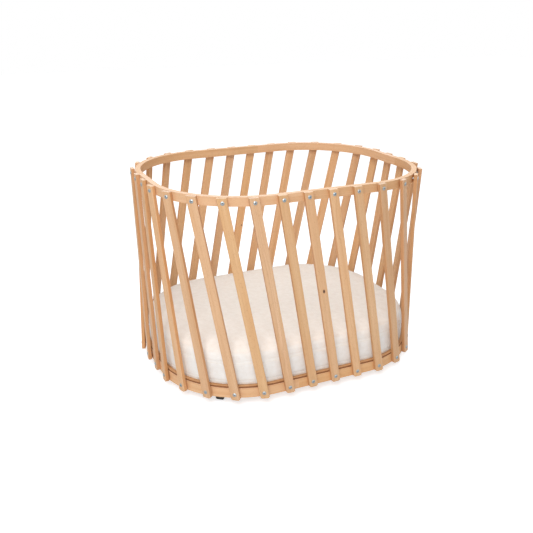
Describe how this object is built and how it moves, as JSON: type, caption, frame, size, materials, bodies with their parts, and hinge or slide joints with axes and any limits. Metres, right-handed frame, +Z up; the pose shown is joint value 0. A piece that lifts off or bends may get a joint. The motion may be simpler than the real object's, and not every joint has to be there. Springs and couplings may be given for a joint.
{
  "type": "baby crib",
  "caption": "Oval baby crib with two bent wooden rings joined by leaning slats, a plywood base, a thick oval mattress and small swivel casters.",
  "frame": {"origin": "on the floor, under the middle of the crib", "axes": "+X along the length, +Y towards the back, +Z up"},
  "size_m": [0.9666, 0.7734, 0.6905],
  "materials": {
    "slat_beech": "satin oiled beech",
    "ring_beech": "satin oiled beech",
    "base_plywood": "sanded plywood",
    "block_beech": "raw beech",
    "screw_steel": "zinc plated",
    "caster_steel": "zinc plated",
    "fork_black": "black powder coat",
    "wheel_rubber": "matte black rubber",
    "mattress_foam": "open cell foam, hidden in the cover",
    "mattress_cotton": "cream woven cotton, overlock stitched"
  },
  "bodies": {
    "crib_frame": {"top_ring_1": "ring_beech", "top_ring_2": "ring_beech", "top_ring_3": "ring_beech", "top_ring_4": "ring_beech", "bottom_ring_1": "ring_beech", "bottom_ring_2": "ring_beech", "bottom_ring_3": "ring_beech", "bottom_ring_4": "ring_beech", "slat_01": "slat_beech", "slat_02": "slat_beech", "slat_03": "slat_beech", "slat_04": "slat_beech", "slat_05": "slat_beech", "slat_06": "slat_beech", "slat_07": "slat_beech", "slat_08": "slat_beech", "slat_09": "slat_beech", "slat_10": "slat_beech", "slat_11": "slat_beech", "slat_12": "slat_beech", "slat_13": "slat_beech", "slat_14": "slat_beech", "slat_15": "slat_beech", "slat_16": "slat_beech", "slat_17": "slat_beech", "slat_18": "slat_beech", "slat_19": "slat_beech", "slat_20": "slat_beech", "slat_21": "slat_beech", "slat_22": "slat_beech", "slat_23": "slat_beech", "slat_24": "slat_beech", "slat_25": "slat_beech", "slat_26": "slat_beech", "slat_27": "slat_beech", "slat_28": "slat_beech", "slat_29": "slat_beech", "slat_30": "slat_beech", "slat_31": "slat_beech", "slat_32": "slat_beech", "top_screws": "screw_steel", "bottom_screws": "screw_steel", "base_board": "base_plywood", "caster_blocks": "block_beech", "caster_plates": "caster_steel", "caster_screws": "screw_steel"},
    "mattress": {"mattress_core": "mattress_foam", "mattress_cover": "mattress_cotton"},
    "caster_1": {"caster_fork_1": "fork_black", "caster_axle_1": "caster_steel"},
    "wheel_1": {"caster_wheel_1": "wheel_rubber"},
    "caster_2": {"caster_fork_2": "fork_black", "caster_axle_2": "caster_steel"},
    "wheel_2": {"caster_wheel_2": "wheel_rubber"},
    "caster_3": {"caster_fork_3": "fork_black", "caster_axle_3": "caster_steel"},
    "wheel_3": {"caster_wheel_3": "wheel_rubber"},
    "caster_4": {"caster_fork_4": "fork_black", "caster_axle_4": "caster_steel"},
    "wheel_4": {"caster_wheel_4": "wheel_rubber"}
  },
  "joints": [
    {"name": "mattress_lift", "type": "slide", "parent": "crib_frame", "child": "mattress", "axis": [0, 0, 1], "range_m": [0, 0.45]},
    {"name": "caster_swivel_1", "type": "hinge", "parent": "crib_frame", "child": "caster_1", "pos_m": [-0.31853, -0.26255, 0.044], "axis": [0, 0, 1], "continuous": true},
    {"name": "wheel_roll_1", "type": "hinge", "parent": "caster_1", "child": "wheel_1", "pos_m": [-0.32776, -0.27437, 0.018], "axis": [0.788, -0.6157, 0], "continuous": true},
    {"name": "caster_swivel_2", "type": "hinge", "parent": "crib_frame", "child": "caster_2", "pos_m": [0.31853, -0.26255, 0.044], "axis": [0, 0, 1], "continuous": true},
    {"name": "wheel_roll_2", "type": "hinge", "parent": "caster_2", "child": "wheel_2", "pos_m": [0.30929, -0.25073, 0.018], "axis": [-0.788, -0.6157, 0], "continuous": true},
    {"name": "caster_swivel_3", "type": "hinge", "parent": "crib_frame", "child": "caster_3", "pos_m": [0.31853, 0.26255, 0.044], "axis": [0, 0, 1], "continuous": true},
    {"name": "wheel_roll_3", "type": "hinge", "parent": "caster_3", "child": "wheel_3", "pos_m": [0.33035, 0.27178, 0.018], "axis": [-0.6157, 0.788, 0], "continuous": true},
    {"name": "caster_swivel_4", "type": "hinge", "parent": "crib_frame", "child": "caster_4", "pos_m": [-0.31853, 0.26255, 0.044], "axis": [0, 0, 1], "continuous": true},
    {"name": "wheel_roll_4", "type": "hinge", "parent": "caster_4", "child": "wheel_4", "pos_m": [-0.33019, 0.27199, 0.018], "axis": [-0.6293, -0.7771, 0], "continuous": true}
  ]
}
